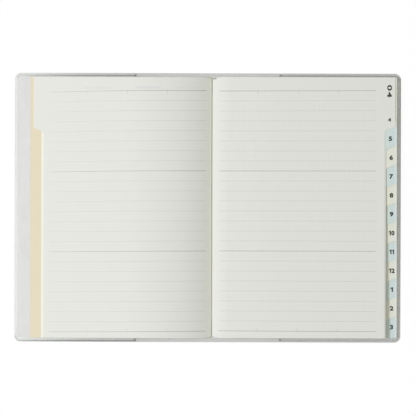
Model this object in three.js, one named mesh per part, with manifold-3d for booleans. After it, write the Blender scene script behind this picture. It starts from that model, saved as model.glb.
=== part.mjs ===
// A B6 monthly planner, open at its first month, in millimetres.
// +X runs across the open spread, +Y to the head of the pages and +Z up. The origin is on the
// table, in the middle of the open jacket. Every leaf turns about one line, the sewn fold.
import * as THREE from "three";
import { mergeVertices } from "three/addons/utils/BufferGeometryUtils.js";
import Module from "manifold-3d";

// Driving dimensions
const LEAF_HEIGHT = 182;
const LEAF_WIDTH = 127.5;
const FRONT_TAB_INSET = 2.5;
const FRONT_TAB_DEPTH = 5.6;
const APRIL_INSET = 0.1;
const STAND_OUT_BELOW_APRIL = 0.7;
const PILE_FAN_OUT = 0.8;
const TAB_DEPTH = 7.85;
const FIRST_CUT_FROM_HEAD = 36.6;
const CUT_SLOPE = 0.34;
const CUT_CORNER_RADIUS = 2.2;
const CUT_CORNER_SHARE = 1 / 3;

const JACKET_SIDE_MARGIN = 4.14;
const JACKET_HEAD_MARGIN = 3;
const JACKET_CORNER_RADIUS = 4.5;
const FLAP_WIDTH = 85;
const WELD_WIDTH = 1.8;
const VINYL_THICKNESS = 0.3;

const CARD_THICKNESS = 0.35;
const FRONT_CARD_INSET = 4.2;
const BACK_CARD_INSET = 2.9;
const CARD_CORNER_RADIUS = 3;
const LINING_THICKNESS = 0.2;
const LINING_MARGIN = 0.25;

const ENDPAPER_THICKNESS = 0.16;
const LEAF_THICKNESS = 0.1;
const FRONT_MATTER_LEAVES = 3;
const NOTES_LEAVES = 5;
const LEAF_CORNER_RADIUS = 0.8;

const THREAD_RADIUS = 0.15;
const THREAD_INSET = 12;

// Shape of the open pages beside the fold
const HUMP_HEIGHT = 1.0;
const HUMP_PEAK_FROM_FOLD = 22;
const ROLL_OFF_WIDTH = 12;
const ROLL_OFF_DROP = 1.1;

// Named clearances
const SHEET_GAP = 0.03;
const PILE_GAP = 0.04;
const LEAF_GAP = 0.045;
const FOLD_CLEARANCE = 0.3;
const TURN_CLEARANCE = 0.1;
const RISER_CLEARANCE = 0.35;
const CLOSE_CLEARANCE = 0.06;
const CREASE_GAP = 0.15;
const FOLD_FROM_CREASE = 0.2;
const CUTTER_MARGIN = 3;

// Fineness of the curved surfaces, and how near two corners lie that are one
const CORNER_SEGMENTS = 6;
const RISING_STEPS = 11;
const FALLING_STEPS = 9;
const ROLL_OFF_STEPS = 8;
const THREAD_SIDES = 8;
const MERGE_TOLERANCE = 1e-4;

const MONTHS_AFTER_APRIL = [
  "may", "june", "july", "august", "september", "october",
  "november", "december", "january", "february", "march",
];

// Heights of the sheets that lie on the table
const jacketTop = VINYL_THICKNESS;
const cardBottom = jacketTop + SHEET_GAP;
const cardTop = cardBottom + CARD_THICKNESS;
const flapBottom = cardTop + SHEET_GAP;
const flapTop = flapBottom + VINYL_THICKNESS;
const pileBase = flapTop + PILE_GAP;

// The leaves in reading order: those turned to the left, then those of the right pile. A month
// has a calendar leaf and a memo leaf with one tab, and the planner lies open between April's.
const leftLeaves = [
  { name: "front_endpaper", thickness: ENDPAPER_THICKNESS },
  ...numbered("front_matter_leaf", FRONT_MATTER_LEAVES),
  { name: "year_leaf", thickness: LEAF_THICKNESS },
  { name: "april_calendar_leaf", thickness: LEAF_THICKNESS, tab: 0 },
];
const rightLeaves = [
  { name: "april_memo_leaf", thickness: LEAF_THICKNESS, tab: 0 },
  ...MONTHS_AFTER_APRIL.flatMap((month, i) => [
    { name: `${month}_calendar_leaf`, thickness: LEAF_THICKNESS, tab: i + 1 },
    { name: `${month}_memo_leaf`, thickness: LEAF_THICKNESS, tab: i + 1 },
  ]),
  ...numbered("notes_leaf", NOTES_LEAVES),
  { name: "back_endpaper", thickness: ENDPAPER_THICKNESS },
];

// Heights of the sheets in the two piles, from the lowest up
const leftSheets = stack(leftLeaves);
const rightSheets = stack(rightLeaves.toReversed());
const leftTop = leftSheets.at(-1).top;
const rightTop = rightSheets.at(-1).top;

// A turned pile lands clear of the pile it meets, and the closed cover clears them both
const foldHeight = (leftTop + HUMP_HEIGHT + rightTop + TURN_CLEARANCE) / 2;
const creaseHeight = flapTop;
const spineWidth = 2 * (foldHeight - creaseHeight) + CLOSE_CLEARANCE;
const creaseX = spineWidth / 2;
const foldX = creaseX + FOLD_FROM_CREASE;

// The jacket stands out a little past the leaves, and the card is trimmed flush with them
const jacketHalfWidth = foldX + LEAF_WIDTH + JACKET_SIDE_MARGIN;
const jacketHeight = LEAF_HEIGHT + 2 * JACKET_HEAD_MARGIN;
const cardHeight = LEAF_HEIGHT;

// The tabs share the fore edge evenly from the first cut to the tail
const frontTabReach = LEAF_WIDTH - FRONT_TAB_INSET;
const frontCutBack = frontTabReach - FRONT_TAB_DEPTH;
const aprilReach = LEAF_WIDTH - APRIL_INSET;
const tabPitch = (LEAF_HEIGHT - FIRST_CUT_FROM_HEAD) / MONTHS_AFTER_APRIL.length;

function numbered(name, count) {
  return Array.from({ length: count }, (_, i) =>
    ({ name: `${name}_${i + 1}`, thickness: LEAF_THICKNESS }));
}

function stack(leaves) {
  const sheets = [];
  let bottom = pileBase;
  for (const leaf of leaves) {
    sheets.push({ ...leaf, bottom, top: bottom + leaf.thickness });
    bottom += leaf.thickness + LEAF_GAP;
  }
  return sheets;
}

const wasm = await Module();
wasm.setup();

function toSolid(geometry) {
  const bare = geometry.clone();
  bare.deleteAttribute("normal");
  bare.deleteAttribute("uv");
  const merged = mergeVertices(bare, MERGE_TOLERANCE);
  const vertProperties = new Float32Array(merged.attributes.position.array);
  const triVerts = new Uint32Array(merged.index.array);
  return new wasm.Manifold(new wasm.Mesh({ numProp: 3, vertProperties, triVerts }));
}

function toGeometry(solid) {
  const mesh = solid.getMesh();
  const geometry = new THREE.BufferGeometry();
  geometry.setAttribute("position", new THREE.BufferAttribute(mesh.vertProperties, 3));
  geometry.setIndex(new THREE.BufferAttribute(mesh.triVerts, 1));
  geometry.computeVertexNormals();
  return geometry;
}

// A flat sheet: an outline seen from above, between two heights
function flatSheet(outline, bottom, top) {
  const depth = top - bottom;
  const options = { depth, bevelEnabled: false, curveSegments: CORNER_SEGMENTS };
  return new THREE.ExtrudeGeometry(outline, options).translate(0, 0, bottom);
}

// A rectangle from x0 to x1, centred on the X axis, with round corners at its outer end, x1
function panelOutline(x0, x1, height, radius) {
  const outline = new THREE.Shape();
  const side = Math.sign(x1 - x0);
  const half = height / 2;
  outline.moveTo(x0, -side * half);
  outline.lineTo(x1 - side * radius, -side * half);
  outline.absarc(x1 - side * radius, -side * (half - radius), radius, -side * Math.PI / 2,
    side > 0 ? 0 : Math.PI, false);
  outline.absarc(x1 - side * radius, side * (half - radius), radius,
    side > 0 ? 0 : Math.PI, side > 0 ? Math.PI / 2 : 1.5 * Math.PI, false);
  outline.lineTo(x0, side * half);
  outline.closePath();
  return outline;
}

function rectangle(x0, x1, height) {
  const outline = new THREE.Shape();
  outline.moveTo(x0, -height / 2);
  outline.lineTo(x1, -height / 2);
  outline.lineTo(x1, height / 2);
  outline.lineTo(x0, height / 2);
  outline.closePath();
  return outline;
}

// Jacket and card: side is -1 for the front cover and 1 for the back cover
function jacketPanel(side) {
  const outer = side * jacketHalfWidth;
  const outline = panelOutline(side * (creaseX + CREASE_GAP), outer, jacketHeight,
    JACKET_CORNER_RADIUS);
  return flatSheet(outline, 0, jacketTop);
}

// A flap is a second sheet of vinyl, welded to the jacket along its head, tail and outer edge
function jacketFlap(side) {
  const outer = side * jacketHalfWidth;
  const inner = outer - side * FLAP_WIDTH;
  const sheet = flatSheet(panelOutline(inner, outer, jacketHeight, JACKET_CORNER_RADIUS),
    jacketTop, flapTop);
  const pocketHeight = jacketHeight - 2 * WELD_WIDTH;
  const pocketRadius = JACKET_CORNER_RADIUS - WELD_WIDTH;
  const pocket = panelOutline(inner - side * CUTTER_MARGIN, outer - side * WELD_WIDTH,
    pocketHeight, pocketRadius);
  const hollow = flatSheet(pocket, jacketTop - CUTTER_MARGIN, flapBottom);
  return toGeometry(toSolid(sheet).subtract(toSolid(hollow)));
}

function cardPanel(side) {
  const inset = side < 0 ? FRONT_CARD_INSET : BACK_CARD_INSET;
  const outline = panelOutline(side * (creaseX + CREASE_GAP), side * (jacketHalfWidth - inset),
    cardHeight, CARD_CORNER_RADIUS);
  return flatSheet(outline, cardBottom, cardTop);
}

const spineHalf = creaseX - CREASE_GAP;

function spineStrip(halfWidth, height, bottom, thickness) {
  return flatSheet(rectangle(-halfWidth, halfWidth, height), bottom, bottom + thickness);
}

// How far the left leaves rise above their flat place, at a distance from the fold
function humpAt(distance) {
  if (distance < HUMP_PEAK_FROM_FOLD) {
    return HUMP_HEIGHT * (1 - (1 - distance / HUMP_PEAK_FROM_FOLD) ** 2);
  }
  const along = (distance - HUMP_PEAK_FROM_FOLD) / (frontCutBack - HUMP_PEAK_FROM_FOLD);
  return HUMP_HEIGHT * 0.5 * (1 + Math.cos(Math.PI * Math.min(1, along)));
}

// Height of the right pile's sheets, which are pressed together beside the fold
function rightHeight(flatHeight, distance) {
  const share = (flatHeight - pileBase) / (rightTop - pileBase);
  const near = Math.max(0, 1 - distance / ROLL_OFF_WIDTH);
  return flatHeight - ROLL_OFF_DROP * share * near ** 2;
}

function steps(from, to, count) {
  return Array.from({ length: count + 1 }, (_, i) => from + (to - from) * i / count);
}

// A sheet is its cross-section, as [distance from the fold, height] points, along the fold
function extrudeSheet(section, side) {
  const points = section.map(([distance, height]) =>
    new THREE.Vector2(foldX + side * distance, height));
  const shape = new THREE.Shape(points);
  const geometry = new THREE.ExtrudeGeometry(shape, { depth: LEAF_HEIGHT, bevelEnabled: false });
  return geometry.rotateX(Math.PI / 2).translate(0, LEAF_HEIGHT / 2, 0);
}

function rightSection(sheet, reach) {
  const rolled = steps(FOLD_CLEARANCE, ROLL_OFF_WIDTH, ROLL_OFF_STEPS);
  const distances = [...rolled, reach];
  const lower = distances.map((d) => [d, rightHeight(sheet.bottom, d)]);
  const upper = distances.map((d) => [d, rightHeight(sheet.top, d)]);
  return [...lower, ...upper.reverse()];
}

// A left sheet climbs the sewn edge of the right pile to the fold, then lies down to the left
function leftSection(sheet, reach) {
  const inner = FOLD_CLEARANCE + sheet.bottom - pileBase;
  const outer = inner + sheet.thickness;
  const riserTop = foldHeight - RISER_CLEARANCE;
  const firstStep = HUMP_PEAK_FROM_FOLD / (RISING_STEPS + 1);
  const rising = steps(firstStep, HUMP_PEAK_FROM_FOLD, RISING_STEPS);
  const falling = steps(HUMP_PEAK_FROM_FOLD, frontCutBack, FALLING_STEPS).slice(1);
  const distances = [...rising, ...falling, reach];
  const lower = [inner, ...distances].map((d) => [d, sheet.bottom + humpAt(d)]);
  const upper = [outer, ...distances].map((d) => [d, sheet.top + humpAt(d)]);
  return [[inner, riserTop], ...lower, ...upper.reverse(), [outer, riserTop]];
}

// What the index cut takes off a leaf: the corner below its tab, with a sloped upper edge
function indexCutter(side, reach, cutBack, fromHead) {
  const outer = reach + CUTTER_MARGIN;
  const middle = (reach + cutBack) / 2;
  const cutAt = (distance) => LEAF_HEIGHT / 2 - fromHead + CUT_SLOPE * (distance - middle);
  const tail = -LEAF_HEIGHT / 2 - CUTTER_MARGIN;
  const cornerX = foldX + side * cutBack;
  const radius = Math.min(CUT_CORNER_RADIUS, (reach - cutBack) * CUT_CORNER_SHARE);
  const shape = new THREE.Shape();
  shape.moveTo(foldX + side * outer, tail);
  shape.lineTo(foldX + side * outer, cutAt(outer));
  shape.lineTo(foldX + side * (cutBack + radius), cutAt(cutBack + radius));
  shape.quadraticCurveTo(cornerX, cutAt(cutBack), cornerX, cutAt(cutBack) - radius);
  shape.lineTo(cornerX, tail);
  shape.closePath();
  return flatSheet(shape, -CUTTER_MARGIN, rightTop + foldHeight);
}

// What rounds a full leaf's outer corners: side is the pile's side and end is 1 at the head
function cornerCutter(side, end, reach) {
  const x = foldX + side * reach;
  const y = end * LEAF_HEIGHT / 2;
  const shape = new THREE.Shape();
  shape.moveTo(x - side * LEAF_CORNER_RADIUS, y);
  shape.quadraticCurveTo(x, y, x, y - end * LEAF_CORNER_RADIUS);
  shape.lineTo(x + side * CUTTER_MARGIN, y - end * LEAF_CORNER_RADIUS);
  shape.lineTo(x + side * CUTTER_MARGIN, y + end * CUTTER_MARGIN);
  shape.lineTo(x - side * LEAF_CORNER_RADIUS, y + end * CUTTER_MARGIN);
  shape.closePath();
  return flatSheet(shape, -CUTTER_MARGIN, rightTop + foldHeight);
}

// The tabs step down the fore edge, so the last month's tab runs to the tail uncut
function trimLeaf(section, side, reach, cutBack, tab) {
  let solid = toSolid(extrudeSheet(section, side));
  solid = solid.subtract(toSolid(cornerCutter(side, 1, reach)));
  if (tab < MONTHS_AFTER_APRIL.length) {
    const fromHead = FIRST_CUT_FROM_HEAD + tabPitch * tab;
    solid = solid.subtract(toSolid(indexCutter(side, reach, cutBack, fromHead)));
  } else {
    solid = solid.subtract(toSolid(cornerCutter(side, -1, reach)));
  }
  return toGeometry(solid);
}

function leftLeaf(sheet) {
  const reach = sheet.tab === 0 ? frontTabReach : LEAF_WIDTH;
  return trimLeaf(leftSection(sheet, reach), -1, reach, frontCutBack, sheet.tab);
}

// The right pile fans out under April's leaf, and each index cut goes in by one tab's depth
function rightLeaf(sheet, fromTop) {
  const fanned = PILE_FAN_OUT * fromTop / (rightSheets.length - 1);
  const reach = aprilReach + (fromTop > 0 ? STAND_OUT_BELOW_APRIL : 0) + fanned;
  return trimLeaf(rightSection(sheet, reach), 1, reach, reach - TAB_DEPTH, sheet.tab);
}

// The sewing thread lies along the fold that all the leaves turn about
function sewingThread() {
  const length = LEAF_HEIGHT - 2 * THREAD_INSET;
  const geometry = new THREE.CylinderGeometry(THREAD_RADIUS, THREAD_RADIUS, length,
    THREAD_SIDES, 1);
  return geometry.translate(foldX, 0, foldHeight);
}

const planner = new THREE.Group();

function add(name, geometry, color, roughness, opacity = 1) {
  const material = new THREE.MeshStandardMaterial({ color, roughness, metalness: 0 });
  material.transparent = opacity < 1;
  material.opacity = opacity;
  const mesh = new THREE.Mesh(geometry, material);
  mesh.name = name;
  planner.add(mesh);
}

const VINYL = [0xc9cac4, 0.25, 0.5];
const CARD = [0xf1f0ea, 0.7];
const PAPER = [0xeeeee6, 0.85];
const CREAM = [0xe7dfc2, 0.85];
const LINING = [0xd8cfb8, 0.9];
const THREAD = [0xf4f2ea, 0.8];
const ENDPAPER = [0xe9e7dd, 0.85];

add("jacket_front_panel", jacketPanel(-1), ...VINYL);
add("jacket_spine_panel", spineStrip(spineHalf, jacketHeight, 0, jacketTop), ...VINYL);
add("jacket_back_panel", jacketPanel(1), ...VINYL);
add("front_flap", jacketFlap(-1), ...VINYL);
add("back_flap", jacketFlap(1), ...VINYL);
add("front_card", cardPanel(-1), ...CARD);
add("spine_card", spineStrip(spineHalf, cardHeight, cardBottom, CARD_THICKNESS), ...CARD);
add("back_card", cardPanel(1), ...CARD);
add("spine_lining",
  spineStrip(spineHalf - LINING_MARGIN, LEAF_HEIGHT, cardTop + SHEET_GAP, LINING_THICKNESS),
  ...LINING);
add("sewing_thread", sewingThread(), ...THREAD);

function lookOf(name) {
  if (name.endsWith("endpaper")) {
    return ENDPAPER;
  }
  return name === "year_leaf" ? CREAM : PAPER;
}

for (const sheet of leftSheets) {
  add(sheet.name, leftLeaf(sheet), ...lookOf(sheet.name));
}
rightSheets.toReversed().forEach((sheet, fromTop) => {
  add(sheet.name, rightLeaf(sheet, fromTop), ...lookOf(sheet.name));
});

export default planner;
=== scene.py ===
# A B6 monthly planner in a clear vinyl jacket, open at its first month and lit from the left.
import math
import bmesh
import bpy
from mathutils import Matrix, Vector


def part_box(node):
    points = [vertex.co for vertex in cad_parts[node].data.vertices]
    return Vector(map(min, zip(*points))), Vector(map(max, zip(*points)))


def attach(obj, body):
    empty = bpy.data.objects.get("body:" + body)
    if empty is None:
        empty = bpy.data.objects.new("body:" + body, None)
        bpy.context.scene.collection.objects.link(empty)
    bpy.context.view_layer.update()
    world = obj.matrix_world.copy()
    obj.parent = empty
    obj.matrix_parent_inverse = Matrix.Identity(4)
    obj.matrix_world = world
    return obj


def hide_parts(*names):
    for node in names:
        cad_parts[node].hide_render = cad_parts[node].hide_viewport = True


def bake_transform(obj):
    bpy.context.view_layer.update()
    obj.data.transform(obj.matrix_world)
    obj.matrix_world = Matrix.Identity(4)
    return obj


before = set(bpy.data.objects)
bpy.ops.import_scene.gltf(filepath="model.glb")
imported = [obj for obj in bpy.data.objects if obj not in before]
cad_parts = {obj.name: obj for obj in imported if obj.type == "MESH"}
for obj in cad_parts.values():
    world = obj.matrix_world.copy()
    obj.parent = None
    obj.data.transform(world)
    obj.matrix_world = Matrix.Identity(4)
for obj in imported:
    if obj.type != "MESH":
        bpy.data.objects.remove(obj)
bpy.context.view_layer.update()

MM = 0.001
HALF_TURN = math.pi
QUARTER_TURN = math.pi / 2

MONTHS = ["april", "may", "june", "july", "august", "september", "october",
          "november", "december", "january", "february", "march"]
NUMBERS = ["4", "5", "6", "7", "8", "9", "10", "11", "12", "1", "2", "3"]

# ---------------------------------------------------------------------------------------------
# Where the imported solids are

thread_low, thread_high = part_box("sewing_thread")
FOLD_X = (thread_low.x + thread_high.x) / 2
FOLD_HEIGHT = (thread_low.z + thread_high.z) / 2
jacket_low, jacket_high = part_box("jacket_back_panel")
JACKET_HALF = jacket_high.x
JACKET_HEIGHT = jacket_high.y - jacket_low.y
JACKET_TOP = jacket_high.z
CREASE_X = (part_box("jacket_spine_panel")[1].x + jacket_low.x) / 2
flap_low, flap_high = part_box("back_flap")
FLAP_WIDTH = flap_high.x - flap_low.x
card_low, card_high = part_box("back_card")
PILE_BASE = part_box("front_endpaper")[0].z
RIGHT_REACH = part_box("april_memo_leaf")[1].x - FOLD_X
RIGHT_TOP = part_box("april_memo_leaf")[1].z

# ---------------------------------------------------------------------------------------------
# Sizes

# As in the solids
JACKET_CORNER = 4.5 * MM
CARD_CORNER = 3 * MM
LEAF_HEIGHT = 182 * MM
LEAF_CORNER = 0.8 * MM
PAPER = 0.1 * MM
ENDPAPER = 0.16 * MM
FIRST_CUT = 36.6 * MM
TAB_PITCH = (LEAF_HEIGHT - FIRST_CUT) / (len(MONTHS) - 1)
CUT_SLOPE = 0.34
CUT_CORNER = 2.2 * MM
LEFT_CUT_BACK = 119.4 * MM
HUMP_HEIGHT = 1.0 * MM
HUMP_PEAK = 22 * MM
ROLL_WIDTH = 12 * MM
ROLL_DROP = 1.1 * MM
RISER_CLEARANCE = 0.35 * MM

# Different from the solids, by up to 1.6 mm
TAB_DEPTH = 7.6 * MM
RIGHT_FIRST_CUT = FIRST_CUT - 1.0 * MM
RIGHT_TAB_PITCH = TAB_PITCH - 0.055 * MM
RIGHT_TAIL_TRIM = 0.45 * MM
DRAW_IN = 1.0 * MM
DRAW_IN_WIDTH = 9 * MM
FOLD_CLEARANCE = 0.06 * MM
RISER_FILLET = 0.35 * MM

# A tab's colour runs on under the leaf above it: inwards, up, and down past the next cut
PRINT_PAST_CUT = 1.2 * MM
PRINT_ABOVE_TAB = 0.5 * MM
PRINT_BELOW_TAB = 1.4 * MM

# The printed page. Lines are given by their width and their strength
LINE_PITCH = 6.97 * MM
LINES = 24
FIRST_LINE = 81.41 * MM
BLOCK_FROM = 4.5 * MM
BLOCK_TO = 113.8 * MM
BLOCK_MIDDLE = 59.4 * MM
ROW_MARGIN = 0.3 * MM
HEAVY_LINE = (0.25 * MM, 0.78)
FINE_LINE = (0.17 * MM, 0.38)
GRID_WIDTH = 0.14 * MM
TICK = (0.32 * MM, 0.34)
TICK_LENGTH = 2.1 * MM
TICK_MARGIN = 8 * MM
TABLE_LINE = (0.2 * MM, 0.5)
GUIDE_LINE = (0.14 * MM, 0.16)


# ---------------------------------------------------------------------------------------------
# Nodes as Python expressions, for the materials and for the leaf's geometry

class Wire:
    """One output socket. Python's operators on it add Math nodes to its tree."""

    def __init__(self, book, socket):
        self.book = book
        self.socket = socket

    def math(self, operation, *others):
        return self.book.node("ShaderNodeMath", {"operation": operation}, self, *others)

    def __add__(self, other):
        return self.math("ADD", other)

    __radd__ = __add__

    def __sub__(self, other):
        return self.math("SUBTRACT", other)

    def __rsub__(self, other):
        return self.book.node("ShaderNodeMath", {"operation": "SUBTRACT"}, other, self)

    def __mul__(self, other):
        return self.math("MULTIPLY", other)

    __rmul__ = __mul__

    def __truediv__(self, other):
        return self.math("DIVIDE", other)

    def __pow__(self, other):
        return self.math("POWER", other)

    def __abs__(self):
        return self.math("ABSOLUTE")

    def __gt__(self, other):
        return self.math("GREATER_THAN", other)

    def __lt__(self, other):
        return self.math("LESS_THAN", other)

    def most(self, other):
        return self.math("MAXIMUM", other)

    def least(self, other):
        return self.math("MINIMUM", other)

    def out(self, name):
        return Wire(self.book, self.socket.node.outputs[name])


class Book:
    """A node tree that is being written. node() adds any node and returns its first output."""

    def __init__(self, tree):
        self.tree = tree

    def node(self, kind, settings=None, *values, **named):
        made = self.tree.nodes.new(kind)
        for key, value in (settings or {}).items():
            setattr(made, key, value)
        usable = [socket for socket in made.inputs if socket.enabled]
        for socket, value in zip(usable, values):
            self.plug(socket, value)
        for name, value in named.items():
            wanted = name.replace("_", " ")
            self.plug(next(s for s in usable if s.name == wanted), value)
        outputs = [socket for socket in made.outputs if socket.enabled]
        return Wire(self, outputs[0]) if outputs else made

    def plug(self, socket, value):
        if isinstance(value, Wire):
            self.tree.links.new(value.socket, socket)
        else:
            socket.default_value = value

    def span(self, value, start, end, low, high):
        """value from start to end becomes low to high, and stays there outside"""
        return self.node("ShaderNodeMapRange", {"clamp": True}, value, start, end, low, high)

    def vary(self, noise, low, high, reach=0.2):
        """The usual range of a noise, reach to each side of a half, becomes low to high"""
        return self.span(noise, 0.5 - reach, 0.5 + reach, low, high)

    def mix(self, factor, a, b, blend="MIX"):
        settings = {"data_type": "RGBA", "blend_type": blend}
        return self.node("ShaderNodeMix", settings, factor, a, b)

    def join(self, x, y, z):
        return self.node("ShaderNodeCombineXYZ", None, x, y, z)

    def tinted(self, colour, tone, blue=None):
        """A colour times a tone. Blue has a tone of its own where one is given."""
        tones = self.join(tone, tone, tone if blue is None else blue)
        return self.mix(1.0, colour, tones, "MULTIPLY")

    def noise(self, place, scale, detail=2.0, roughness=0.5):
        return self.node("ShaderNodeTexNoise", None, place, Scale=scale, Detail=detail,
                         Roughness=roughness)

    def bump(self, height, strength, depth):
        return self.node("ShaderNodeBump", None, Strength=strength, Distance=depth, Height=height)

    def inside(self, value, low, high):
        return (value > low) * (value < high)

    def finish(self, **surface):
        """A principled surface, as the material's last word"""
        self.close(self.node("ShaderNodeBsdfPrincipled", None, **surface))

    def close(self, shader):
        self.node("ShaderNodeOutputMaterial", None, shader)


def srgb(red, green, blue):
    """A colour that is written as 0 to 255, as Blender's linear value"""
    shares = [part / 255 for part in (red, green, blue)]
    return (*[s / 12.92 if s <= 0.04045 else ((s + 0.055) / 1.055) ** 2.4 for s in shares], 1.0)


def eased(share):
    """A share from 0 to 1 that starts and ends gently"""
    return share * share * (3 - share * 2)


def start_material(name):
    made = bpy.data.materials.new(name)
    made.use_nodes = True
    made.node_tree.nodes.clear()
    return made, Book(made.node_tree)


def object_place(book):
    """Object coordinates, and the parts across and up the page"""
    place = book.node("ShaderNodeTexCoord").out("Object")
    parts = book.node("ShaderNodeSeparateXYZ", None, place)
    return place, parts.out("X"), parts.out("Y")


# ---------------------------------------------------------------------------------------------
# Paper and print

PAGE_COLOUR = srgb(227, 228, 221)
INK_COLOUR = srgb(112, 122, 116)
SHOW_THROUGH = srgb(150, 172, 190)
# Painted highlights on the rims of the open pages, and painted shade on the right page's fore edge
LIT_RIM_LEFT = srgb(242, 243, 233)
LIT_RIM_RIGHT = srgb(234, 234, 219)
SHADED_EDGE = srgb(170, 170, 148)
# Painted shadow at the head of the fold, on the right page
FOLD_HEAD_SHADOW_COLOUR = srgb(135, 140, 134)
TAB_BLUE = srgb(207, 221, 219)
TAB_CREAM = srgb(226, 228, 216)
TAB_RIM = srgb(240, 243, 236)
# Cut edges beside the fold: darker partly with glue and partly with painted shade of the gutter
GLUE_AND_SHADE_BESIDE_FOLD = srgb(188, 190, 175)
GLUE_AND_SHADE_AT_FOLD = srgb(203, 205, 192)

# Ink beside the fold and at the fore edge
EVEN_INK = (1.0, 1.0)
LEFT_INK = (1.13, 0.52)
RIGHT_INK = (1.07, 1.0)

# How the print lies on the page: its stretch, its lift, its tilt and the tilt's change down the
# page, its bow and the bow's change
STRAIGHT_PRESS = (1.0, 0.0, 0.0, 0.0, 0.0, 0.0)
LEFT_PRESS = (0.9966, 0.08 * MM, 0.0097, 0.045, 0.17 * MM, 0.0044)
RIGHT_PRESS = (1.0029, 0.0, -0.0017, -0.044, 0.0, 0.0)
BOW_FROM = 12 * MM
BOW_TO = 116 * MM

# Patches of print that show through at the head of the left page: how far their middle lies
# from the fold, how far from it they begin to fade and have gone, and their strength
SHOWN_WORDS = [(80 * MM, 8 * MM, 12 * MM, 0.8), (45 * MM, 8 * MM, 10 * MM, 1.0),
               (17 * MM, 9 * MM, 12 * MM, 0.5)]

# Light in the gap at the cut comes off cream paper, so a tab is warmer there
GAP_TINT = (1.05, 1.035, 0.9, 1.0)


def finish_paper(book, place, colour, dryness=0.82, fibre=0.25):
    """Paper's cloudy formation, its fibres and its dry surface, under a printed colour"""
    cloud = book.noise(place, 140, 3.0)
    fibres = book.noise(place, 2600, 3.0, 0.7)
    mottle = book.vary(cloud, 0.985, 1.0) * book.vary(fibres, 0.985, 1.0)
    book.finish(Base_Color=book.tinted(colour, mottle),
                Roughness=book.vary(cloud, dryness - 0.05, dryness + 0.05),
                Normal=book.bump(fibres, fibre, 0.03 * MM), Specular_IOR_Level=0.25)


def stripe(book, value, pitch, width):
    """1 on lines of a width that repeat at a pitch, through 0"""
    phase = (value / pitch + 0.5).math("FRACT")
    off = abs(phase - 0.5) * pitch
    return book.span(off, width * 0.5, width * 0.5 + 0.05 * MM, 1.0, 0.0)


def lines(book, value, pitch, kind):
    width, strength = kind
    return stripe(book, value, pitch, width) * strength


def ruled_ink(book, across, y, grid_share, inking):
    """A ruled memo page: a heavy line each 56 mm, fine lines each 7 mm and a faint grid"""
    down = FIRST_LINE - y
    in_block = (book.span(across, BLOCK_FROM - 0.5 * MM, BLOCK_FROM + 0.5 * MM, 0.0, 1.0)
                * book.span(across, BLOCK_TO - 0.7 * MM, BLOCK_TO + 0.7 * MM, 1.0, 0.0))
    in_rows = book.inside(down, -ROW_MARGIN, LINES * LINE_PITCH + ROW_MARGIN)
    heavy = lines(book, down, LINE_PITCH * 8, HEAVY_LINE)
    fine = lines(book, down, LINE_PITCH, FINE_LINE)
    rows = stripe(book, down, LINE_PITCH / 2, GRID_WIDTH)
    columns = stripe(book, across - BLOCK_FROM, LINE_PITCH / 2, GRID_WIDTH)
    grid = rows.most(columns) * grid_share
    half_block = LINES / 2 * LINE_PITCH
    near_end = abs(down - half_block) > half_block - TICK_LENGTH
    tick = (lines(book, across - BLOCK_MIDDLE, LINE_PITCH * 4, TICK) * near_end
            * book.inside(across, BLOCK_FROM + TICK_MARGIN, BLOCK_TO - TICK_MARGIN))
    printed = heavy.most(fine).most(grid).most(tick)
    return printed * in_block * in_rows * book.span(across, BLOCK_FROM, BLOCK_TO, *inking)


def table_ink(book, across, y):
    """A month table of four columns and six rows, with faint guides across it"""
    down = FIRST_LINE - y
    in_block = book.inside(across, BLOCK_FROM - 0.1 * MM, BLOCK_TO + 0.3 * MM)
    in_rows = book.inside(down, -ROW_MARGIN, LINES * LINE_PITCH + ROW_MARGIN)
    rows = lines(book, down, LINE_PITCH * 4, TABLE_LINE)
    columns = lines(book, across - BLOCK_FROM, LINE_PITCH * 4, TABLE_LINE)
    guides = lines(book, down, LINE_PITCH, GUIDE_LINE)
    return rows.most(columns).most(guides) * in_block * in_rows


def left_page_look(book, across, level, colour):
    """Darker towards the fold with painted shade, warmer close to it, with the other side's print
    showing through above the first line, and a painted highlight as a lit rim along the cut"""
    # Painted shade: darker near the fold and down the slope of the page, and warmer close to the
    # fold
    gutter = book.span(across, 0.5 * MM, 34 * MM, 1.0, 0.0)
    slope = book.span(across, 12 * MM, 62 * MM, 1.0, 0.0)
    shade = (1 - gutter ** 2.2 * 0.14) * (1 - eased(slope) * 0.097)
    colour = book.tinted(colour, shade, shade * (1 - gutter ** 6 * 0.06))
    in_row = book.span(abs(level - FIRST_LINE - 2.2 * MM), 0.3 * MM, 1.1 * MM, 1.0, 0.0)
    words = sum(book.span(abs(across - middle), solid, faded, strength, 0.0)
                for middle, solid, faded, strength in SHOWN_WORDS)
    colour = book.mix(in_row * words * 0.14, colour, SHOW_THROUGH)
    # Painted highlight along the cut
    below_cut = level < LEAF_HEIGHT / 2 - FIRST_CUT - 0.9 * MM
    rim = book.inside(across, LEFT_CUT_BACK - 1.5 * MM, LEFT_CUT_BACK) * below_cut
    return book.mix(rim * 0.7, colour, LIT_RIM_LEFT)


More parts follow.
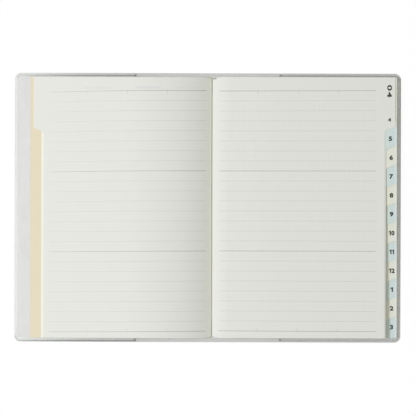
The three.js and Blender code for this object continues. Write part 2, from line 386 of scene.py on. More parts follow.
def right_page_look(book, across, level, colour):
    """A touch darker past the slope at the fold with painted shade, with a painted highlight as a
    lit rim and painted shade on the edge above the cut, and a painted shadow at the fold's head"""
    # Painted shade, a touch darker past the slope at the fold
    far = book.span(across, 18 * MM, 46 * MM, 0.0, 1.0)
    colour = book.tinted(colour, 1 - eased(far) * 0.018)
    above_cut = book.span(level, 54 * MM, 62 * MM, 0.0, 1.0)
    # Painted highlight on the rim above the cut, and painted shade on the fore edge itself
    rim = book.span(across, RIGHT_REACH - 1.7 * MM, RIGHT_REACH - 1.3 * MM, 0.0, 0.55)
    colour = book.mix(rim * above_cut, colour, LIT_RIM_RIGHT)
    edge = book.span(across, RIGHT_REACH - 0.9 * MM, RIGHT_REACH - 0.2 * MM, 0.0, 0.65)
    colour = book.mix(edge * above_cut, colour, SHADED_EDGE)
    # Painted shadow at the head of the fold
    head = LEAF_HEIGHT / 2 - DRAW_IN
    head_shadow_mask = (book.span(across, 2.2 * MM, 2.9 * MM, 1.0, 0.0)
             * book.span(level, head - 0.6 * MM, head - 0.1 * MM, 0.0, 1.0))
    return book.mix(head_shadow_mask * 0.85, colour, FOLD_HEAD_SHADOW_COLOUR)


def tab_paint(book, y, colour, tab_colour):
    """The tab's own colour, where the leaf's tab_place attribute says that it lies, warmer in the
    shaded gap beside the cut with painted bounce light
    """
    place_on_tab = book.node("ShaderNodeAttribute", {"attribute_name": "tab_place"})
    parts = book.node("ShaderNodeSeparateXYZ", None, place_on_tab.out("Vector"))
    outwards, down = parts.out("X"), parts.out("Y")
    on_tab = (outwards > 0.0) * book.inside(down, 0.0, TAB_PITCH + PRINT_BELOW_TAB)
    fore_rim = book.span(outwards, TAB_DEPTH - 0.4 * MM, TAB_DEPTH + 0.8 * MM, 0.0, 0.5)
    # Painted bounce light in the shaded gap beside the cut, fainter on the upper tabs
    in_gap = (book.span(outwards, 2.4 * MM, 4.0 * MM, 1.0, 0.0)
              * book.span(y, 0.0, 35 * MM, 1.0, 0.25))
    glow = tuple(part * share for part, share in zip(tab_colour, GAP_TINT))
    paint = book.mix(fore_rim, book.mix(in_gap, tab_colour, glow), TAB_RIM)
    return book.mix(on_tab, colour, paint)


def page_material(name, kind, tab_colour=None, press=STRAIGHT_PRESS, inking=EVEN_INK,
                  grid_share=0.06, look=None):
    """Printed paper, with the look of its open page and the colour of its tab, if any"""
    made, book = start_material(name)
    place, x, y = object_place(book)
    across = abs(x - FOLD_X)
    stretch, lift, tilt, flare, bow, bow_change = press
    along = book.span(across, BOW_FROM, BOW_TO, 0.0, 1.0)
    level = (y * stretch - lift + across * (tilt + y * flare)
             - along * (1 - along) * 4 * (bow + y * bow_change))
    if kind == "table":
        ink = table_ink(book, across, level)
    else:
        ink = ruled_ink(book, across, level, grid_share, inking)
    worn = book.noise(place, 900)
    colour = book.mix(ink * book.vary(worn, 0.8, 1.0), PAGE_COLOUR, INK_COLOUR)
    if look:
        colour = look(book, across, level, colour)
    if tab_colour:
        colour = tab_paint(book, y, colour, tab_colour)
    finish_paper(book, place, colour)
    return made


def plain_paper(name, colour, dryness=0.85, fibre=0.35):
    """Paper without print, with darker flecks in it"""
    made, book = start_material(name)
    place = object_place(book)[0]
    flecks = book.span(book.noise(place, 1100, 4.0, 0.8), 0.62, 0.75, 0.0, 0.12)
    dark = tuple(part * 0.8 for part in colour[:3]) + (1.0,)
    finish_paper(book, place, book.mix(flecks, colour, dark), dryness, fibre)
    return made


def cut_edge_material(name, colour):
    """A guillotined edge, rougher than the faces, and darker beside the fold, partly with glue and
    partly with painted shade of the gutter
    """
    made, book = start_material(name)
    place, x, y = object_place(book)
    across = abs(x - FOLD_X)
    # Partly glue and partly painted shade of the gutter, close to the fold
    colour = book.mix(book.span(across, 1.3 * MM, 1.7 * MM, 1.0, 0.0), colour, GLUE_AND_SHADE_BESIDE_FOLD)
    colour = book.mix(book.span(across, 0.6 * MM, 0.85 * MM, 1.0, 0.0), colour, GLUE_AND_SHADE_AT_FOLD)
    scratches = book.noise(book.join(y * 3.0, y * 0.4, 0.0), 900)
    finish_paper(book, place, book.tinted(colour, book.vary(scratches, 0.9, 1.0)), 0.9, 0.3)
    return made


# ---------------------------------------------------------------------------------------------
# Vinyl, card, thread and ink

WELD_LINE = srgb(122, 126, 124)
WELD_FROM_EDGE = 1.75 * MM
MOUTH_WIDTH = 1.5 * MM


def vinyl_tone(book, x, y, from_side, at_left):
    """Streaks up the sheet and a tone a little darker 3 to 9 mm in from the side, a painted
    highlight on the rim at the left and painted shade on the rim at the right, painted light that
    falls off from left to right, and painted shadow on the right half, most of all towards its
    head"""
    drawn = book.noise(book.join(x, y * 0.03, 0.0), 330)
    # Drawn streaks, times a tone a little darker from 3 to 9 mm in from the side
    streaks_and_inset_tone = (book.vary(drawn, 0.955, 1.0, 0.15)
               * book.span(from_side, 3 * MM, 9 * MM, 1.0, 0.975))
    # Painted highlight on the rim at the left, painted shade on the rim at the right
    lit = book.span(from_side, 0.9 * MM, 2.1 * MM, 0.06, 0.0) * at_left
    shaded = book.span(from_side, 0.4 * MM, 1.8 * MM, 0.15, 0.0) * (1 - at_left)
    # Painted shadow on the right half, stronger towards its head and most of all about 63 mm up
    right_painted_shadow = (book.span(y, 50 * MM, 82 * MM, 0.0, 0.06)
            + book.span(abs(y - 63 * MM), 5 * MM, 16 * MM, 0.09, 0.0))
    # Painted light that falls off from the left to the right
    return (streaks_and_inset_tone * (1 + lit - shaded) * book.span(x, -100 * MM, 100 * MM, 1.0, 0.845)
            * (1 - right_painted_shadow * (1 - at_left)))


def weld_line(book, x, y, from_side, from_end, at_tail):
    """The dark line where the weld ends, and the bead that closes it at the flap's mouth"""
    past_x = JACKET_CORNER - from_side
    past_y = JACKET_CORNER - from_end
    turned = (past_x.most(0.0) ** 2 + past_y.most(0.0) ** 2) ** 0.5
    from_edge = JACKET_CORNER - turned - past_x.most(past_y).least(0.0)
    tail_weld = book.span(x, -20 * MM, 20 * MM, 0.85 * MM, 1.5 * MM)
    weld = book.span(y, -70 * MM, 70 * MM, tail_weld, WELD_FROM_EDGE)
    line = (book.span(abs(from_edge - weld), 0.15 * MM, 0.5 * MM, 1.0, 0.0)
            * book.span(from_end, 3.5 * MM, 7 * MM, 1.0, 0.2)
            * book.span(x, -135 * MM, -100 * MM, 0.5, 1.0)
            * (1 + at_tail * book.span(x, -20 * MM, 20 * MM, 0.5, -0.38)))
    from_mouth = abs(x) - (JACKET_HALF - FLAP_WIDTH)
    bead = (book.span(from_mouth, MOUTH_WIDTH - 0.2 * MM, MOUTH_WIDTH + 0.2 * MM, 1.0, 0.0)
            * book.span(abs(from_end - 1.6 * MM), 0.5 * MM, 0.8 * MM, 1.0, 0.0))
    return line.most(bead), bead


def vinyl_material(name, clear, haze, end_clear, end_haze, welded):
    """Soft vinyl. clear is how much a face lets through, and haze is its own milky colour.
    Both change along the head and the tail, painted light and shade lie over the haze, and a flap
    shows the line of its weld."""
    made, book = start_material(name)
    place, x, y = object_place(book)
    waves = book.noise(place, 22)
    grain = book.noise(place, 1800)
    from_end = JACKET_HEIGHT / 2 - abs(y)
    from_side = JACKET_HALF - abs(x)
    at_end = book.span(from_end, 2.7 * MM, 3.3 * MM, 1.0, 0.0)
    at_left = book.span(x, -10 * MM, 10 * MM, 1.0, 0.0)
    tone = vinyl_tone(book, x, y, from_side, at_left)
    # The tone with its painted light and shade, and warmer towards the right
    colour = book.tinted(haze, tone, tone * book.span(x, 0.0, 120 * MM, 1.0, 0.9))
    # Painted light along the head and the tail: brighter at the left end, darker towards the right
    end_painted_light = (book.span(x, -133 * MM, -75 * MM, 1.42, 1.0)
           * book.span(x, -50 * MM, 15 * MM, 0.94, 1.02)
           * book.span(x, 20 * MM, 70 * MM, 1.0, 0.9))
    colour = book.mix(at_end, colour, book.tinted(end_haze, end_painted_light))
    alpha = book.vary(waves, 0.97, 1.03, 0.15) * (
        (1 - clear) * (1 - at_end) + at_end * (1 - end_clear))
    if welded:
        at_tail = book.span(y, -5 * MM, 5 * MM, 1.0, 0.0)
        inner_light = (at_tail * at_end * book.span(x, -60 * MM, -40 * MM, 0.12, 0.0)
                       * book.span(from_end, 1.3 * MM, 1.9 * MM, 0.0, 1.0))
        line, bead = weld_line(book, x, y, from_side, from_end, at_tail)
        colour = book.mix(line, book.tinted(colour, 1 + inner_light), WELD_LINE)
        alpha = alpha.most(line * 0.36).most(bead * 0.42)
    book.finish(Base_Color=colour, Roughness=book.vary(grain, 0.22, 0.34), Alpha=alpha,
                Normal=book.bump(waves + grain * 0.005, 0.6, 0.6 * MM), IOR=1.53)
    return made


def card_material(name):
    """Smooth white board, a little cloudy"""
    made, book = start_material(name)
    place = object_place(book)[0]
    cloud = book.noise(place, 90, 3.0)
    grain = book.noise(place, 1500, 3.0, 0.6)
    book.finish(Base_Color=book.mix(book.vary(cloud, 0.0, 1.0), srgb(226, 227, 226),
                                    srgb(221, 222, 221)),
                Roughness=book.vary(grain, 0.5, 0.62),
                Normal=book.bump(grain, 0.2, 0.04 * MM), Specular_IOR_Level=0.3)
    return made


def thread_material(name):
    """Twisted thread"""
    made, book = start_material(name)
    place, _, y = object_place(book)
    twist = stripe(book, y + book.noise(place, 300) * 0.2 * MM, 0.6 * MM, 0.25 * MM)
    book.finish(Base_Color=book.mix(twist, srgb(236, 234, 226), srgb(206, 203, 192)),
                Roughness=book.span(twist, 0.0, 1.0, 0.75, 0.85),
                Normal=book.bump(twist, 0.5, 0.05 * MM))
    return made


def number_ink_material(name):
    """Black ink with a little speckle"""
    made, book = start_material(name)
    speckle = book.noise(object_place(book)[0], 5000)
    book.finish(Base_Color=book.mix(book.span(speckle, 0.4, 0.7, 0.0, 1.0), srgb(20, 23, 24),
                                    srgb(34, 37, 37)),
                Roughness=book.vary(speckle, 0.55, 0.7))
    return made


PAGE_RULED = page_material("page_ruled", "ruled")
PAGE_TABLE = page_material("page_table", "table")
LEFT_PAGE = page_material("left_page_ruled", "ruled", press=LEFT_PRESS, inking=LEFT_INK,
                          grid_share=0.02, look=left_page_look)
RIGHT_PAGE = page_material("right_page_ruled", "ruled", press=RIGHT_PRESS, inking=RIGHT_INK,
                           look=right_page_look)
BLUE_RULED = page_material("blue_tab_ruled", "ruled", TAB_BLUE)
BLUE_TABLE = page_material("blue_tab_table", "table", TAB_BLUE)
CREAM_RULED = page_material("cream_tab_ruled", "ruled", TAB_CREAM)
CREAM_TABLE = page_material("cream_tab_table", "table", TAB_CREAM)
YEAR_PAPER = plain_paper("year_leaf_paper", srgb(225, 216, 190))
END_PAPER = plain_paper("endpaper_stock", srgb(230, 229, 221))
PLAIN_PAPER = plain_paper("plain_leaf_paper", srgb(228, 229, 222))
PAPER_EDGE = cut_edge_material("paper_cut_edge", srgb(226, 226, 214))
CREAM_EDGE = cut_edge_material("cream_cut_edge", srgb(220, 209, 180))
JACKET_VINYL = vinyl_material("jacket_vinyl", 0.4, srgb(236, 237, 236), 0.4,
                              srgb(198, 200, 197), False)
FLAP_VINYL = vinyl_material("flap_vinyl", 0.9, srgb(232, 232, 230), 0.87,
                            srgb(222, 223, 221), True)
COVER_CARD = card_material("cover_card_stock")
LINING_KRAFT = plain_paper("spine_lining_kraft", srgb(208, 197, 170), 0.9, 0.6)
SEWING_THREAD = thread_material("sewing_thread_twist")
NUMBER_INK = number_ink_material("number_ink")


# ---------------------------------------------------------------------------------------------
# Objects and meshes

def new_object(name, mesh=None):
    made = bpy.data.objects.new(name, mesh or bpy.data.meshes.new(name))
    bpy.context.scene.collection.objects.link(made)
    return made


def sheet_object(name, vertices, faces, material):
    mesh = bpy.data.meshes.new(name)
    mesh.from_pydata(vertices, [], faces)
    mesh.materials.append(material)
    return new_object(name, mesh)


def finished_mesh(made):
    """The mesh that an object's modifiers or its curve come to"""
    bpy.context.view_layer.update()
    seen = made.evaluated_get(bpy.context.evaluated_depsgraph_get())
    return bpy.data.meshes.new_from_object(seen)


def apply_modifiers(made):
    mesh = finished_mesh(made)
    made.modifiers.clear()
    made.data = mesh


def smooth(made, degrees=30):
    made.data.shade_smooth()
    made.data.set_sharp_from_angle(angle=math.radians(degrees))


def settle(made, slot, body, *replaced):
    """Hides the solids that a finished piece stands for and gives the piece its body. Its slot is
    not used.
    """
    if replaced:
        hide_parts(*replaced)
    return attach(made, body)


# ---------------------------------------------------------------------------------------------
# The index leaf: one geometry tree that makes every leaf from its named sizes

LEAF_SIZES = ["Side", "Fold X", "Flat Height", "Thickness", "Riser Place", "Riser Height",
              "Fillet", "Hump", "Roll Drop", "Reach", "Cut Back", "Cut From Head",
              "Head Corner", "Tail Corner", "Inner Corner", "Tab From", "Tab Top", "Tail Trim"]
LEAF_MATERIALS = ["Upper Print", "Lower Print", "Cut Edge"]
COLUMN_STEPS = 40
ROW_STEPS = 30
MERGE_DISTANCE = 0.002 * MM

# Where on the grid each stretch of a leaf ends, down from the head and across from the fold
HEAD_ROWS, UPPER_ROWS, SLOPE_ROWS, BEND_ROWS, LOWER_ROWS = 0.2, 11 / 30, 0.5, 0.7, 5 / 6
RISER_COLUMNS, FILLET_COLUMNS, ROLL_COLUMNS, HUMP_COLUMNS, PAGE_COLUMNS = 0.1, 0.2, 0.5, 0.75, 0.95
HUMP_MARGIN = 4 * MM


def leaf_outline(book, size, v):
    """How far below the head a row lies, and how far from the fold it ends. Down the leaf come
    the head corner, the upper edge, the sloped cut, its inner corner, the lower edge, the tail"""
    middle = (size["Reach"] + size["Cut Back"]) * 0.5
    head_turn = book.span(v, 0.0, HEAD_ROWS, 0.0, QUARTER_TURN)
    tail_turn = book.span(v, LOWER_ROWS, 1.0, 0.0, QUARTER_TURN)
    cut_outer = size["Cut From Head"] - (size["Reach"] - middle) * CUT_SLOPE
    cut_inner = (size["Cut From Head"]
                 - (size["Cut Back"] + size["Inner Corner"] - middle) * CUT_SLOPE)
    cut_corner = size["Cut From Head"] - (size["Cut Back"] - middle) * CUT_SLOPE
    cut_end = cut_corner + size["Inner Corner"]
    to_tail = LEAF_HEIGHT - size["Tail Trim"] - size["Tail Corner"] - cut_end
    on_cut = book.span(v, UPPER_ROWS, SLOPE_ROWS, 0.0, 1.0)
    bend = book.span(v, SLOPE_ROWS, BEND_ROWS, 0.0, 1.0)
    below = (size["Head Corner"] * (1 - head_turn.math("COSINE"))
             + book.span(v, HEAD_ROWS, UPPER_ROWS, 0.0, 1.0) * (cut_outer - size["Head Corner"])
             + on_cut * (cut_inner - cut_outer)
             + bend * (1 - bend) * 2 * (cut_corner - cut_inner)
             + bend * bend * (cut_end - cut_inner)
             + book.span(v, BEND_ROWS, LOWER_ROWS, 0.0, 1.0) * to_tail
             + size["Tail Corner"] * tail_turn.math("SINE"))
    edge = (size["Reach"] - size["Head Corner"] * (1 - head_turn.math("SINE"))
            - on_cut * (size["Reach"] - size["Cut Back"] - size["Inner Corner"])
            - size["Inner Corner"] * (1 - (1 - bend) * (1 - bend))
            - size["Tail Corner"] * (1 - tail_turn.math("COSINE")))
    return below, edge, middle


def leaf_profile(book, size, u, edge):
    """How far from the fold a column lies, and how high. Across the leaf come the riser at the
    fold, its fillet, the roll-off, the hump, the flat page and the fore edge"""
    start = size["Riser Place"] + size["Fillet"]
    turn = book.span(u, RISER_COLUMNS, FILLET_COLUMNS, 0.0, QUARTER_TURN)
    rise = 1 - book.span(u, 0.0, RISER_COLUMNS, 0.0, 1.0)
    page = size["Cut Back"] - HUMP_PEAK - 2 * HUMP_MARGIN
    away = (size["Riser Place"] + size["Fillet"] * (1 - turn.math("COSINE"))
            + book.span(u, FILLET_COLUMNS, ROLL_COLUMNS, 0.0, 1.0) * (ROLL_WIDTH - start)
            + book.span(u, ROLL_COLUMNS, HUMP_COLUMNS, 0.0, HUMP_PEAK + HUMP_MARGIN - ROLL_WIDTH)
            + book.span(u, HUMP_COLUMNS, PAGE_COLUMNS, 0.0, 1.0) * page
            + book.span(u, PAGE_COLUMNS, 1.0, 0.0, 1.0)
            * (edge - size["Cut Back"] + HUMP_MARGIN))
    near = (1 - away / HUMP_PEAK).most(0.0)
    far = book.span(away, HUMP_PEAK, LEFT_CUT_BACK, 0.0, HALF_TURN)
    hump = size["Hump"] * (1 - near * near) * (0.5 + far.math("COSINE") * 0.5)
    roll = (1 - away / ROLL_WIDTH).most(0.0)
    height = (size["Flat Height"] + size["Riser Height"] * rise
              + size["Fillet"] * (1 - turn.math("SINE")) + hump
              - size["Roll Drop"] * roll * roll)
    return away, height


def leaf_tree():
    tree = bpy.data.node_groups.new("index_leaf", "GeometryNodeTree")
    tree.interface.new_socket("Leaf", in_out="OUTPUT", socket_type="NodeSocketGeometry")
    for name in LEAF_SIZES:
        tree.interface.new_socket(name, in_out="INPUT", socket_type="NodeSocketFloat")
    for name in LEAF_MATERIALS:
        tree.interface.new_socket(name, in_out="INPUT", socket_type="NodeSocketMaterial")
    book = Book(tree)
    given = book.node("NodeGroupInput")
    size = {name: given.out(name) for name in LEAF_SIZES}
    grid = book.node("GeometryNodeMeshGrid", None, 1.0, 1.0, COLUMN_STEPS + 1, ROW_STEPS + 1)
    parts = book.node("ShaderNodeSeparateXYZ", None, book.node("GeometryNodeInputPosition"))
    u = parts.out("X") * size["Side"] + 0.5
    v = 0.5 - parts.out("Y")
    below, edge, middle = leaf_outline(book, size, v)
    away, height = leaf_profile(book, size, u, edge)

    # Beside the fold the head and the tail are drawn in
    beside = (1 - away / DRAW_IN_WIDTH).most(0.0)
    drawn_in = (LEAF_HEIGHT / 2 - below) * (1 - beside * beside * (DRAW_IN * 2 / LEAF_HEIGHT))
    place = book.join(size["Fold X"] + size["Side"] * away, drawn_in, height)

    # Where the tab's print lies on this leaf is noted on the flat grid, before it is bent
    tab_top = size["Tab Top"] - (away - middle) * CUT_SLOPE
    tab_place = book.join(away - size["Tab From"], below - tab_top, 0.0)
    noted = book.node("GeometryNodeStoreNamedAttribute",
                      {"data_type": "FLOAT_VECTOR", "domain": "POINT"}, grid,
                      Name="tab_place", Value=tab_place)
    bent = book.node("GeometryNodeSetPosition", None, noted, Position=place)
    under = book.node("GeometryNodeMergeByDistance", None, bent, Distance=MERGE_DISTANCE)

    # The sheet's thickness: the upper face is pushed off the lower one, and the rim closes it
    pushed = book.node("GeometryNodeExtrudeMesh", {"mode": "FACES"}, under,
                       Offset_Scale=size["Thickness"], Individual=False)
    upper = book.node("GeometryNodeSetMaterial", None, pushed, Selection=pushed.out("Top"),
                      Material=given.out("Upper Print"))
    rimmed = book.node("GeometryNodeSetMaterial", None, upper, Selection=pushed.out("Side"),
                       Material=given.out("Cut Edge"))
    lower = book.node("GeometryNodeSetMaterial", None,
                      book.node("GeometryNodeFlipFaces", None, under),
                      Material=given.out("Lower Print"))
    both = tree.nodes.new("GeometryNodeJoinGeometry")
    for sheet in (rimmed, lower):
        tree.links.new(sheet.socket, both.inputs[0])
    whole = book.node("GeometryNodeMergeByDistance", None, Wire(book, both.outputs[0]),
                      Distance=MERGE_DISTANCE)
    real = book.node("GeometryNodeRealizeInstances", None, whole)
    book.node("NodeGroupOutput", None, real)
    return tree


LEAF_TREE = leaf_tree()
INPUT_OF = {item.name: item.identifier for item in LEAF_TREE.interface.items_tree
            if item.in_out == "INPUT"}


def index_leaf(node, side, tab, prints):
    """A leaf that stands for a CAD node: its place and reach are read from that node"""
    low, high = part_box(node)
    thick = ENDPAPER if "endpaper" in node else PAPER
    right = side > 0
    reach = high.x - FOLD_X if right else FOLD_X - low.x
    flat = high.z - thick if right else low.z
    over_base = flat - PILE_BASE
    first, pitch = (RIGHT_FIRST_CUT, RIGHT_TAB_PITCH) if right else (FIRST_CUT, TAB_PITCH)
    cut = tab is not None and tab < len(MONTHS) - 1
    tab_from = reach - TAB_DEPTH if right else LEFT_CUT_BACK
    cut_back = tab_from if cut else reach
    fillet = 0.0 if right else RISER_FILLET
    sizes = {
        "Side": side, "Fold X": FOLD_X, "Flat Height": flat, "Thickness": thick,
        "Riser Place": FOLD_CLEARANCE + (0.0 if right else over_base),
        "Riser Height": 0.0 if right else FOLD_HEIGHT - RISER_CLEARANCE - flat - fillet,
        "Fillet": fillet, "Hump": 0.0 if right else HUMP_HEIGHT,
        "Roll Drop": ROLL_DROP * over_base / (RIGHT_TOP - PILE_BASE) if right else 0.0,
        "Reach": reach, "Cut Back": cut_back,
        "Cut From Head": first + pitch * tab if cut else LEAF_HEIGHT / 2,
        "Head Corner": LEAF_CORNER, "Tail Corner": 0.0 if cut else LEAF_CORNER,
        "Inner Corner": min(CUT_CORNER, (reach - cut_back) / 3) if cut else 0.0,
        "Tab From": tab_from - PRINT_PAST_CUT,
        "Tab Top": first + pitch * ((tab or 0) - 1) - PRINT_ABOVE_TAB,
        "Tail Trim": RIGHT_TAIL_TRIM if right else 0.0}
    made = new_object(node.removesuffix("_leaf") + "_sheet")
    shape = made.modifiers.new("index_leaf", "NODES")
    shape.node_group = LEAF_TREE
    for name, value in sizes.items():
        shape[INPUT_OF[name]] = float(value)
    for name, value in zip(LEAF_MATERIALS, prints):
        shape[INPUT_OF[name]] = value
    apply_modifiers(made)
    smooth(made)
    return made


def body_name(node):
    return node.removesuffix("_leaf") if node.startswith(tuple(MONTHS)) else node


def tab_slot(tab):
    return "page" if tab == 0 else "blue_tab_page" if tab % 2 else "cream_tab_page"


def add_leaf(node, side, tab, slot, prints):
    settle(index_leaf(node, side, tab, prints), slot, body_name(node), node)


# The left pile, from the cover up
add_leaf("front_endpaper", -1, None, "endpaper", (END_PAPER, END_PAPER, PAPER_EDGE))
for count in (1, 2, 3):
    add_leaf(f"front_matter_leaf_{count}", -1, None, "page",
             (PLAIN_PAPER, PLAIN_PAPER, PAPER_EDGE))
add_leaf("year_leaf", -1, None, "year_leaf", (YEAR_PAPER, YEAR_PAPER, CREAM_EDGE))
add_leaf("april_calendar_leaf", -1, 0, "page", (LEFT_PAGE, PAGE_TABLE, PAPER_EDGE))

# The right pile, from the open page down
add_leaf("april_memo_leaf", 1, 0, "page", (RIGHT_PAGE, PAGE_TABLE, PAPER_EDGE))
for tab, month in enumerate(MONTHS[1:], 1):
    ruled, table = (BLUE_RULED, BLUE_TABLE) if tab % 2 else (CREAM_RULED, CREAM_TABLE)
    add_leaf(f"{month}_calendar_leaf", 1, tab, tab_slot(tab), (table, ruled, PAPER_EDGE))
    add_leaf(f"{month}_memo_leaf", 1, tab, tab_slot(tab), (ruled, table, PAPER_EDGE))
for count in (1, 2, 3, 4, 5):
    add_leaf(f"notes_leaf_{count}", 1, None, "page", (PAGE_RULED, PAGE_RULED, PAPER_EDGE))
add_leaf("back_endpaper", 1, None, "endpaper", (END_PAPER, END_PAPER, PAPER_EDGE))


# ---------------------------------------------------------------------------------------------
# Numbers on the tabs, printed on the upper face of each month's two leaves

# A style is the figures' size, how much they are widened and the weight that is added to them
ONE_FIGURE_STYLE = (4.05 * MM, 1.18, 0.21 * MM)
TWO_FIGURE_STYLE = (4.05 * MM, 1.0, 0.21 * MM)
APRIL_STYLE = (3.24 * MM, 1.18, 0.168 * MM)
HEADING_STYLE = (4.35 * MM, 1.85, 0.13 * MM)
APRIL_NUMBER_X = 126.4 * MM
MAY_NUMBER_X = 127.05 * MM
JUNE_NUMBER_X = 127.7 * MM
DRIFT_PER_TAB = 0.145 * MM
DRIFTING_TABS = 6
FIRST_NUMBER_Y = 61.52 * MM
NUMBER_PITCH = 13.135 * MM
HEADING_Y = 81.4 * MM
INK_THICKNESS = 0.006 * MM
INK_SEAT = INK_THICKNESS * 1.5
FIGURE_GAP = 0.07
FIGURE_SHARE = 0.7

# A figure one: its outline in shares of a figure's height, from its foot's right corner
ONE_OUTLINE = [(0.46, 0.0), (0.46, 1.0), (0.26, 1.0), (0.0, 0.8), (0.0, 0.6), (0.22, 0.7),
               (0.22, 0.0)]


def figure_curve(name, figure, size, weight):
    """One figure as a flat curve with a little thickness, and a one with its flag"""
    if figure == "1":
        curve = bpy.data.curves.new(name, "CURVE")
        curve.dimensions = "2D"
        outline = curve.splines.new("POLY")
        outline.points.add(len(ONE_OUTLINE) - 1)
        tall = size * FIGURE_SHARE + weight * 2
        for point, (across, up) in zip(outline.points, ONE_OUTLINE):
            point.co = (across * tall, up * tall, 0.0, 1.0)
        outline.use_cyclic_u = True
    else:
        curve = bpy.data.curves.new(name, "FONT")
        curve.body = figure
        curve.size = size
        curve.offset = weight
        curve.resolution_u = 4
    curve.fill_mode = "BOTH"
    curve.extrude = INK_THICKNESS
    return curve


def printed_number(name, text, style, place, turn=0.0):
    """Plain figures, centred on a place, as a thin closed mesh that lies flat there"""
    size, widening, weight = style
    line = bmesh.new()
    right = 0.0
    for figure in text:
        made = new_object(name, figure_curve(name, figure, size, weight))
        mesh = finished_mesh(made)
        bpy.data.objects.remove(made)
        left = min(v.co.x for v in mesh.vertices)
        foot = min(v.co.y for v in mesh.vertices)
        mesh.transform(Matrix.Translation((right - left, -foot, 0.0)))
        line.from_mesh(mesh)
        right = max(v.co.x for v in line.verts) + size * FIGURE_GAP
    mesh = bpy.data.meshes.new(name)
    line.to_mesh(mesh)
    line.free()
    low = [min(v.co[i] for v in mesh.vertices) for i in range(2)]
    high = [max(v.co[i] for v in mesh.vertices) for i in range(2)]
    middle = Vector(((low[0] + high[0]) / 2, (low[1] + high[1]) / 2, 0.0))
    mesh.transform(Matrix.Translation(place) @ Matrix.Rotation(turn, 4, "Z")
                   @ Matrix.Diagonal((widening, 1.0, 1.0, 1.0)) @ Matrix.Translation(-middle))
    mesh.materials.clear()
    mesh.materials.append(NUMBER_INK)
    return new_object(name, mesh)


def tab_number(tab, text, top):
    """The style and the place of a tab's number"""
    y = FIRST_NUMBER_Y - NUMBER_PITCH * tab
    if tab == 0:
        return APRIL_STYLE, (APRIL_NUMBER_X, y, top)
    x = MAY_NUMBER_X
    if tab > 1:
        x = JUNE_NUMBER_X + DRIFT_PER_TAB * min(tab - 2, DRIFTING_TABS)
    return ONE_FIGURE_STYLE if len(text) == 1 else TWO_FIGURE_STYLE, (x, y, top)


for tab, (month, text) in enumerate(zip(MONTHS, NUMBERS)):
    for kind in ("calendar", "memo"):
        if tab == 0 and kind == "calendar":
            continue
        node = f"{month}_{kind}_leaf"
        style, place = tab_number(tab, text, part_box(node)[1].z + INK_SEAT)
        figure = printed_number(f"{month}_{kind}_number", text, style, place)
        settle(figure, tab_slot(tab), body_name(node))
heading = printed_number("april_heading_number", "04", HEADING_STYLE,
                         (APRIL_NUMBER_X, HEADING_Y, RIGHT_TOP + INK_SEAT), -QUARTER_TURN)
settle(heading, "page", "april_memo")


# ---------------------------------------------------------------------------------------------
# Jacket and card: flat sheets with round outer corners, and close columns over the spine's crease

CREASE_STEPS = 24
CREASE_MARGIN = 3 * MM
CORNER_STEPS = 10


def sheet_columns(outer, radius):
    """Places across a sheet, close together over the crease and round the outer corners"""
    columns = [(CREASE_X + CREASE_MARGIN) * i / CREASE_STEPS for i in range(CREASE_STEPS + 1)]
    columns.append((columns[-1] + outer) / 2)
    return columns + [outer - radius + radius * math.sin(QUARTER_TURN * i / CORNER_STEPS)
                      for i in range(CORNER_STEPS + 1)]


def flat_sheet(name, side, outer, height, radius, bottom, top, material):
    """One half of the jacket or card, from the spine's middle to its outer edge"""
    vertices, faces = [], []
    columns = sheet_columns(outer, radius)
    for x in columns:
        past = max(0.0, x - (outer - radius))
        half = height / 2 - radius + math.sqrt(max(0.0, radius ** 2 - past ** 2))
        vertices += [(side * x, -half, bottom), (side * x, half, bottom),
                     (side * x, half, top), (side * x, -half, top)]
    for i in range(len(columns) - 1):
        for k in range(4):
            a, b = 4 * i + k, 4 * i + (k + 1) % 4
            quad = (a, b, b + 4, a + 4)
            faces.append(quad if side < 0 else quad[::-1])
    first, last = (0, 1, 2, 3), tuple(4 * (len(columns) - 1) + k for k in range(4))
    faces += [first[::-1], last] if side < 0 else [first, last[::-1]]
    made = sheet_object(name, vertices, faces, material)
    smooth(made)
    return made


def hang_half(made, slot, side, *replaced):
    """Hides the solids that the sheet stands for and bakes its place into its mesh"""
    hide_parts(*replaced)
    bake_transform(made)


for side, cover in ((-1, "front"), (1, "back")):
    sheet = flat_sheet(f"{cover}_jacket_sheet", side, JACKET_HALF, JACKET_HEIGHT, JACKET_CORNER,
                       0.0, JACKET_TOP, JACKET_VINYL)
    hang_half(sheet, "vinyl", side, f"jacket_{cover}_panel", "jacket_spine_panel")
    card_edge = abs(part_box(f"{cover}_card")[0 if side < 0 else 1].x)
    card = flat_sheet(f"{cover}_cover_card", side, card_edge, card_high.y * 2, CARD_CORNER,
                      card_low.z, card_high.z, COVER_CARD)
    hang_half(card, "cover_card", side, f"{cover}_card", "spine_card")


# ---------------------------------------------------------------------------------------------
# Flaps: a second sheet of vinyl, pressed down to the jacket along its welded rim

# How far in from the edge, and how high, both in millimetres
WELD_PROFILE = [(0.0, 0.50), (0.12, 0.60), (0.75, 0.62), (0.95, 0.54), (1.15, 0.54),
                (1.35, 0.63), (1.55, 0.70), (1.8, 0.96), (2.0, 1.01), (2.6, 1.01)]
FLAP_THICKNESS = 0.28 * MM
SMALLEST_TURN = 0.05 * MM
FLAP_END_STEPS = 6
FLAP_CORNER_STEPS = 12
FLAP_SIDE_STEPS = 4


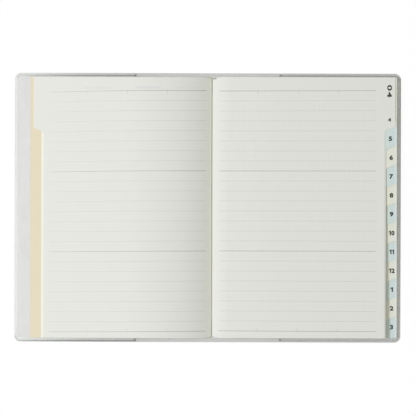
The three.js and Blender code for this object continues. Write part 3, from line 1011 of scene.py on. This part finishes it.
def flap_loop(inset, side):
    """Points round the welded side of a flap, at a distance in from its edge"""
    half, outer, radius = JACKET_HEIGHT / 2, JACKET_HALF, JACKET_CORNER
    inner = outer - FLAP_WIDTH
    points = [(inner + (outer - radius - inner) * i / FLAP_END_STEPS, half - inset)
              for i in range(FLAP_END_STEPS)]
    turned = max(radius - inset, SMALLEST_TURN)
    for i in range(FLAP_CORNER_STEPS + 1):
        angle = QUARTER_TURN * (1 - i / FLAP_CORNER_STEPS)
        points.append((outer - radius + turned * math.cos(angle),
                       half - radius + turned * math.sin(angle)))
    points += [(outer - inset, (half - radius) * (1 - i / FLAP_SIDE_STEPS))
               for i in range(1, FLAP_SIDE_STEPS + 1)]
    mirrored = [(x, -y) for x, y in points[-2::-1]]
    return [(side * x, y) for x, y in points + mirrored]


def welded_flap(name, side):
    vertices, faces = [], []
    loops = [flap_loop(inset * MM, side) for inset, _ in WELD_PROFILE]
    count = len(loops[0])
    for loop, (_, height) in zip(loops, WELD_PROFILE):
        vertices += [(x, y, height * MM) for x, y in loop]
    for ring in range(len(loops) - 1):
        for i in range(count - 1):
            a, b = ring * count + i, (ring + 1) * count + i
            quad = (a, a + 1, b + 1, b)
            faces.append(quad[::-1] if side > 0 else quad)
    middle = [(len(loops) - 1) * count + i for i in range(count)]
    faces.append(tuple(middle[::-1] if side > 0 else middle))
    made = sheet_object(name, vertices, faces, FLAP_VINYL)
    thick = made.modifiers.new("vinyl_thickness", "SOLIDIFY")
    thick.thickness = FLAP_THICKNESS
    thick.offset = -1
    apply_modifiers(made)
    smooth(made)
    return made


for side, cover in ((-1, "front"), (1, "back")):
    settle(welded_flap(f"{cover}_welded_flap", side), "vinyl", f"{cover}_cover",
           f"{cover}_flap")

for node, material in (("spine_lining", LINING_KRAFT), ("sewing_thread", SEWING_THREAD)):
    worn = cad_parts[node].data.materials
    worn.clear()
    worn.append(material)


# ---------------------------------------------------------------------------------------------
# Floor, light and camera

WHITE = (1.0, 1.0, 1.0, 1.0)
FLOOR_WHITE = (0.98, 0.98, 0.98, 1.0)
FLOOR_GLOW = 0.96
FLOOR_HALF = 6.0
FLOOR_LEVEL = -0.3 * MM
KEY_SHARE = 0.5
KEY_SIZE = 0.6
KEY_DISTANCE = 2.2
KEY_ELEVATION = math.radians(41)
CAMERA_HEIGHT = 1.0
CAMERA_SHIFT = (0.3 * MM, -0.2 * MM)
CAMERA_ROLL = 0.003
SENSOR_WIDTH = 36.0
PICTURE_WIDTH = 416 * 0.6993 * MM


def seen_directly(book):
    """1 for camera, mirror and see-through rays, which show the plain backdrop"""
    path = book.node("ShaderNodeLightPath")
    return path.out("Is Camera Ray").most(path.out("Is Glossy Ray")).most(
        path.out("Is Transmission Ray"))


def floor_material():
    made, book = start_material("white_floor")
    lit = book.node("ShaderNodeBsdfDiffuse", None, Color=FLOOR_WHITE)
    glow = book.node("ShaderNodeEmission", None, Color=WHITE, Strength=1.0)
    book.close(book.node("ShaderNodeMixShader", None, seen_directly(book) * FLOOR_GLOW, lit, glow))
    return made


floor_corners = [(x * FLOOR_HALF, y * FLOOR_HALF, FLOOR_LEVEL)
                 for x, y in ((-1, -1), (1, -1), (1, 1), (-1, 1))]
sheet_object("floor", floor_corners, [(0, 1, 2, 3)], floor_material())

world = bpy.data.worlds.new("studio")
world.use_nodes = True
world.node_tree.nodes.clear()
sky = Book(world.node_tree)
fill = sky.node("ShaderNodeBackground", None, WHITE, 1.0 - KEY_SHARE)
backdrop = sky.node("ShaderNodeBackground", None, WHITE, 1.0)
sky.node("ShaderNodeOutputWorld", None,
         sky.node("ShaderNodeMixShader", None, seen_directly(sky), fill, backdrop))
bpy.context.scene.world = world

key = bpy.data.lights.new("window_light", "AREA")
key.shape = "DISK"
key.size = KEY_SIZE
key.energy = KEY_SHARE * math.pi ** 2 * KEY_DISTANCE ** 2 / math.sin(KEY_ELEVATION)
toward = Vector((-math.cos(KEY_ELEVATION), 0.0, math.sin(KEY_ELEVATION)))
key_lamp = new_object("window_light", key)
key_lamp.location = toward * KEY_DISTANCE
key_lamp.rotation_mode = "QUATERNION"
key_lamp.rotation_quaternion = toward.to_track_quat("Z", "Y")

camera = bpy.data.cameras.new("camera")
camera.sensor_width = SENSOR_WIDTH
camera.lens = SENSOR_WIDTH * CAMERA_HEIGHT / PICTURE_WIDTH
camera.clip_start = 0.1
camera.clip_end = 50.0
viewer = new_object("camera", camera)
viewer.location = (*CAMERA_SHIFT, CAMERA_HEIGHT)
viewer.rotation_euler = (0.0, 0.0, CAMERA_ROLL)
bpy.context.scene.camera = viewer
bpy.context.scene.view_settings.view_transform = "Standard"
